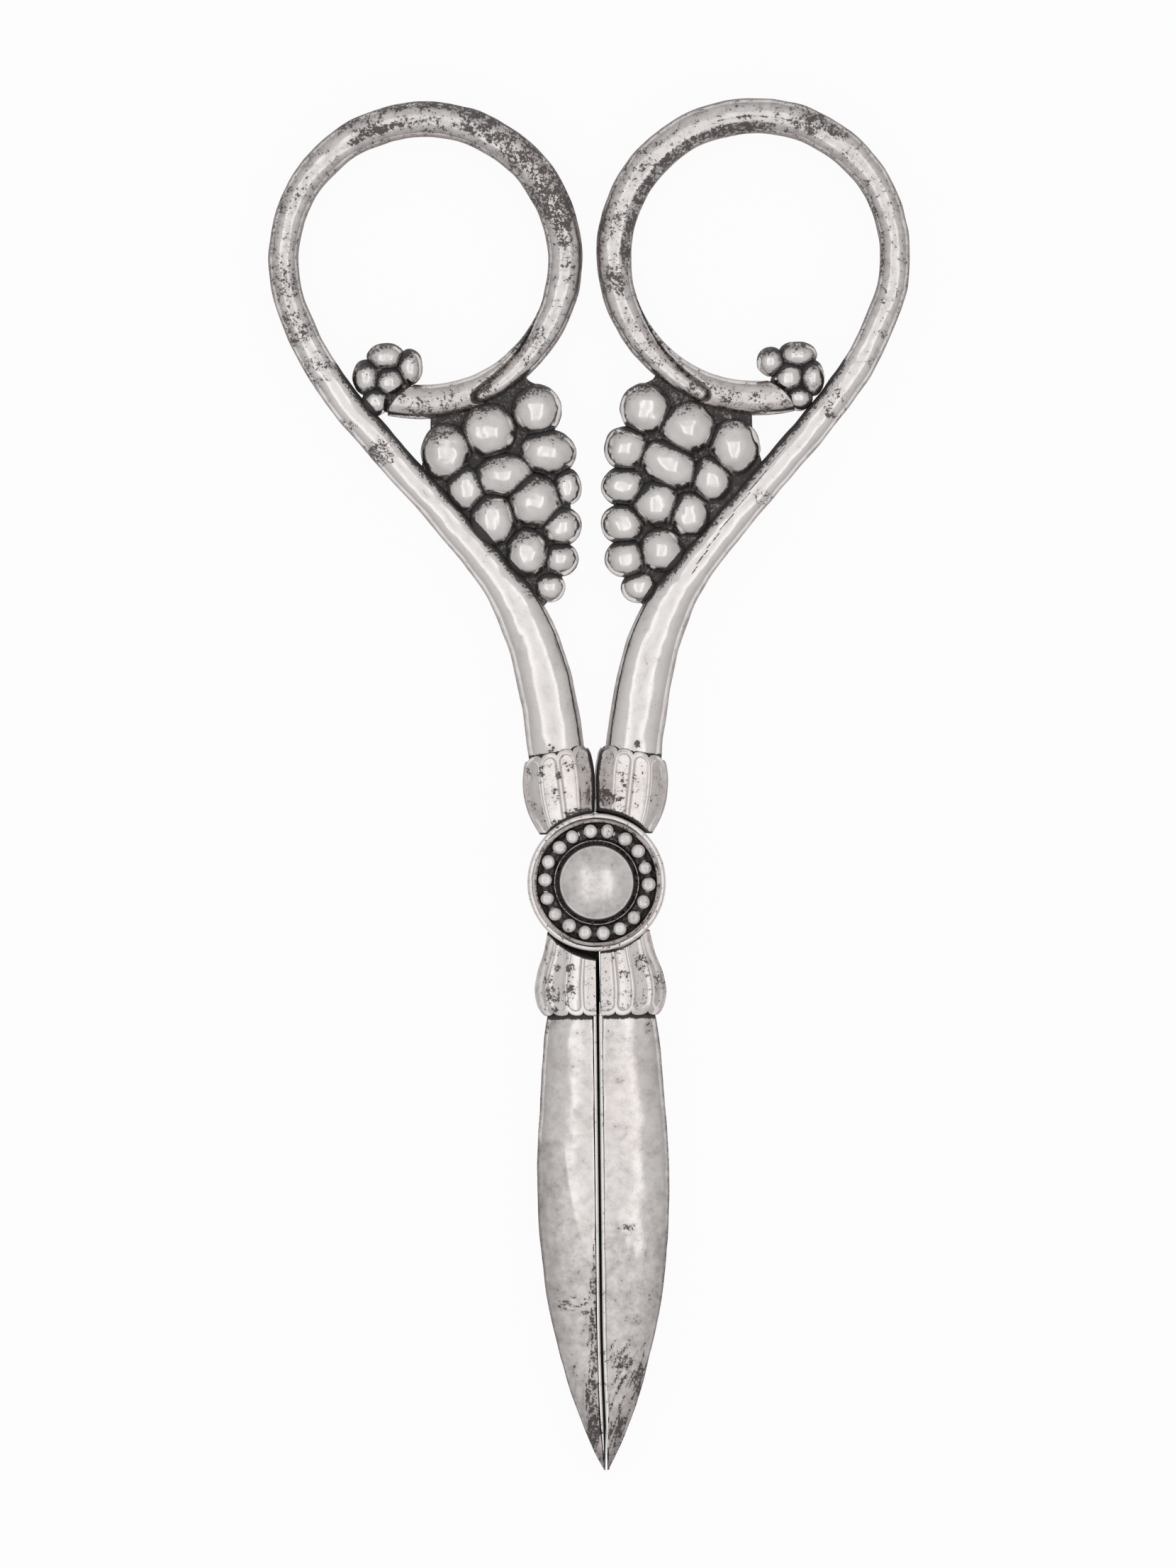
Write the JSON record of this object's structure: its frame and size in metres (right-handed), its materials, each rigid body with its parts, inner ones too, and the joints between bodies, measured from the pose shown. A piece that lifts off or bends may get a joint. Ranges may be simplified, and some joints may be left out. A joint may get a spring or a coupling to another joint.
{
  "type": "grape shears",
  "caption": "Silver grape shears with vine-stem finger bows, cast grape bunches, fluted collars, a beaded pivot rosette and a leaf-shaped pair of blades.",
  "frame": {"origin": "on the pivot axis, in the flat back face of the rear lug", "axes": "+X towards the right finger bow, +Y towards the finger bows with the blades along -Y, +Z out of the rosette"},
  "size_m": [0.0726, 0.155, 0.0088],
  "materials": {
    "bow_silver": "polished",
    "stem_silver": "satin",
    "fruit_silver": "polished",
    "collar_silver": "satin",
    "lug_silver": "satin",
    "blade_silver": "polished",
    "liner_steel": "polished",
    "rosette_silver": "satin",
    "bead_silver": "polished",
    "rivet_silver": "satin"
  },
  "bodies": {
    "rear_half": {"rear_lug": "lug_silver", "right_bow": "bow_silver", "right_stem": "stem_silver", "right_berries": "fruit_silver", "right_grapes": "fruit_silver", "right_upper_collar": "collar_silver", "left_lower_collar": "collar_silver", "left_blade": "blade_silver", "left_cutting_liner": "liner_steel", "pivot_rivet": "rivet_silver"},
    "front_half": {"front_lug": "lug_silver", "left_bow": "bow_silver", "left_stem": "stem_silver", "left_berries": "fruit_silver", "left_grapes": "fruit_silver", "left_upper_collar": "collar_silver", "right_lower_collar": "collar_silver", "right_blade": "blade_silver", "right_cutting_liner": "liner_steel", "rosette_washer": "rosette_silver", "rosette_beads": "bead_silver"}
  },
  "joints": [
    {"name": "pivot", "type": "hinge", "parent": "rear_half", "child": "front_half", "pos_m": [0, 0, 0], "axis": [0, 0, 1], "range_deg": [0, 60]}
  ]
}
